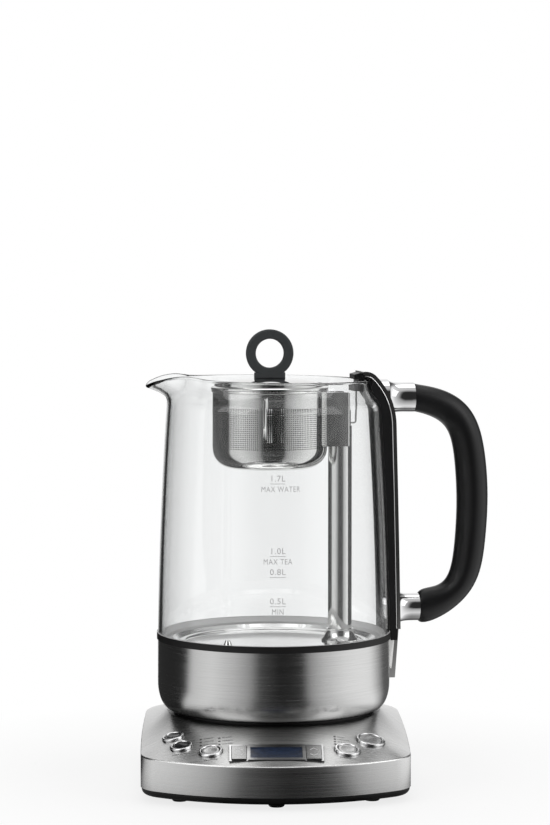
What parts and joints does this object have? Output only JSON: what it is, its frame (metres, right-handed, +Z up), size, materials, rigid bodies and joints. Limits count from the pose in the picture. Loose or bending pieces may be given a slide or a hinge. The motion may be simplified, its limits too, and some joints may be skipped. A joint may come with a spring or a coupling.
{
  "type": "automatic tea maker",
  "caption": "Countertop tea maker: a glass and steel jug with a motor-driven tea basket on a post, seated on a heated base with a keyed control panel.",
  "frame": {"origin": "jug axis at the surface the feet stand on", "axes": "+Z up along the jug, -Y towards the control panel, +X towards the jug's handle side"},
  "size_m": [0.2255, 0.2172, 0.2894],
  "materials": {
    "brushed_steel": "horizontally brushed",
    "polished_steel": "polished",
    "bright_chrome": "mirror bright",
    "satin_button_silver": "metallised satin",
    "black_button_plastic": "gloss",
    "matte_black_plastic": "fine matte",
    "black_rubber": "matte",
    "clear_glass": "clear polished",
    "blue_display": "clear window over a blue display",
    "dark_lamp_lens": "smoked",
    "grey_cap_plastic": "satin",
    "circuit_board": "solder mask",
    "black_component": "matte",
    "screw_steel": "plain zinc",
    "cast_aluminium": "as cast",
    "contact_brass": "bright",
    "carriage_plastic": "plain",
    "magnet_nickel": "nickel plated"
  },
  "bodies": {
    "base": {"base_cover": "brushed_steel", "base_tray": "matte_black_plastic", "rubber_feet": "black_rubber", "base_seat": "matte_black_plastic", "socket_contacts": "contact_brass", "base_screws": "screw_steel", "button_bezels": "bright_chrome", "switch_boards": "circuit_board", "button_switches": "black_component", "display_frame": "bright_chrome", "display_window": "blue_display", "display_module": "matte_black_plastic", "key_carrier": "matte_black_plastic", "key_domes": "black_rubber", "control_board": "circuit_board", "indicator_lamps": "dark_lamp_lens", "supply_board": "circuit_board", "supply_parts": "black_component", "cord_gland": "matte_black_plastic"},
    "jug": {"glass_jug": "clear_glass", "seam_gasket": "black_rubber", "jug_shell": "brushed_steel", "jug_floor": "polished_steel", "heater_plate": "cast_aluminium", "heating_element": "cast_aluminium", "temperature_sensor": "polished_steel", "jug_bottom": "matte_black_plastic", "jug_plug": "matte_black_plastic", "post_tube": "polished_steel", "post_foot": "polished_steel", "post_nut": "polished_steel", "post_cap": "grey_cap_plastic", "post_stay": "polished_steel", "screw_bushes": "matte_black_plastic", "motor_bracket": "screw_steel", "lift_motor": "cast_aluminium", "handle_plate": "polished_steel", "handle_backing": "matte_black_plastic", "handle_bolt": "screw_steel", "rim_clip": "matte_black_plastic", "upper_ferrule": "bright_chrome", "lower_ferrule": "bright_chrome", "handle_grip": "matte_black_plastic"},
    "screw": {"lead_screw": "polished_steel"},
    "carriage": {"lift_carriage": "carriage_plastic", "carriage_magnets": "magnet_nickel"},
    "basket": {"tea_basket": "polished_steel", "basket_saddle": "polished_steel", "saddle_magnets": "magnet_nickel"},
    "lid": {"basket_lid": "polished_steel", "ring_handle": "black_rubber"},
    "power_button": {"power_button": "black_button_plastic"},
    "keep_warm_button": {"keep_warm_button": "black_button_plastic"},
    "tea_type_button": {"tea_type_button": "satin_button_silver"},
    "strength_button": {"strength_button": "satin_button_silver"},
    "start_button": {"start_button": "satin_button_silver"},
    "temperature_key": {"temperature_key": "black_button_plastic"},
    "time_key": {"time_key": "black_button_plastic"}
  },
  "joints": [
    {"name": "jug_lift", "type": "slide", "parent": "base", "child": "jug", "axis": [0, 0, 1], "range_m": [0, 0.06]},
    {"name": "carriage_travel", "type": "slide", "parent": "jug", "child": "carriage", "axis": [0, 0, 1], "range_m": [-0.1, 0]},
    {"name": "screw_turn", "type": "hinge", "parent": "jug", "child": "screw", "pos_m": [0.04316, 0.00684, 0.15], "axis": [0, 0, 1], "range_deg": [-4500, 0]},
    {"name": "basket_lift", "type": "slide", "parent": "carriage", "child": "basket", "axis": [0, 0, 1], "range_m": [0, 0.1]},
    {"name": "lid_lift", "type": "slide", "parent": "basket", "child": "lid", "axis": [0, 0, 1], "range_m": [0, 0.05]},
    {"name": "power_press", "type": "slide", "parent": "base", "child": "power_button", "axis": [0.2321, 0.1779, -0.9563], "range_m": [0, 0.001], "stiffness_N_per_m": 700},
    {"name": "keep_warm_press", "type": "slide", "parent": "base", "child": "keep_warm_button", "axis": [0.147, 0.2433, -0.9587], "range_m": [0, 0.001], "stiffness_N_per_m": 700},
    {"name": "tea_type_press", "type": "slide", "parent": "base", "child": "tea_type_button", "axis": [0.1013, 0.2767, -0.9556], "range_m": [0, 0.001], "stiffness_N_per_m": 700},
    {"name": "strength_press", "type": "slide", "parent": "base", "child": "strength_button", "axis": [-0.1104, 0.2715, -0.9561], "range_m": [0, 0.001], "stiffness_N_per_m": 700},
    {"name": "start_press", "type": "slide", "parent": "base", "child": "start_button", "axis": [-0.1596, 0.2318, -0.9596], "range_m": [0, 0.001], "stiffness_N_per_m": 700},
    {"name": "temperature_rock", "type": "hinge", "parent": "base", "child": "temperature_key", "pos_m": [-0.02295, -0.10023, 0.02782], "axis": [1, 0, 0], "range_deg": [-3, 3], "stiffness_Nm_per_rad": 0.4},
    {"name": "time_rock", "type": "hinge", "parent": "base", "child": "time_key", "pos_m": [0.02295, -0.10023, 0.02782], "axis": [1, 0, 0], "range_deg": [-3, 3], "stiffness_Nm_per_rad": 0.4}
  ],
  "couplings": [
    {"joint": "screw_turn", "follows": "carriage_travel", "rad_per_m": 785.4}
  ]
}
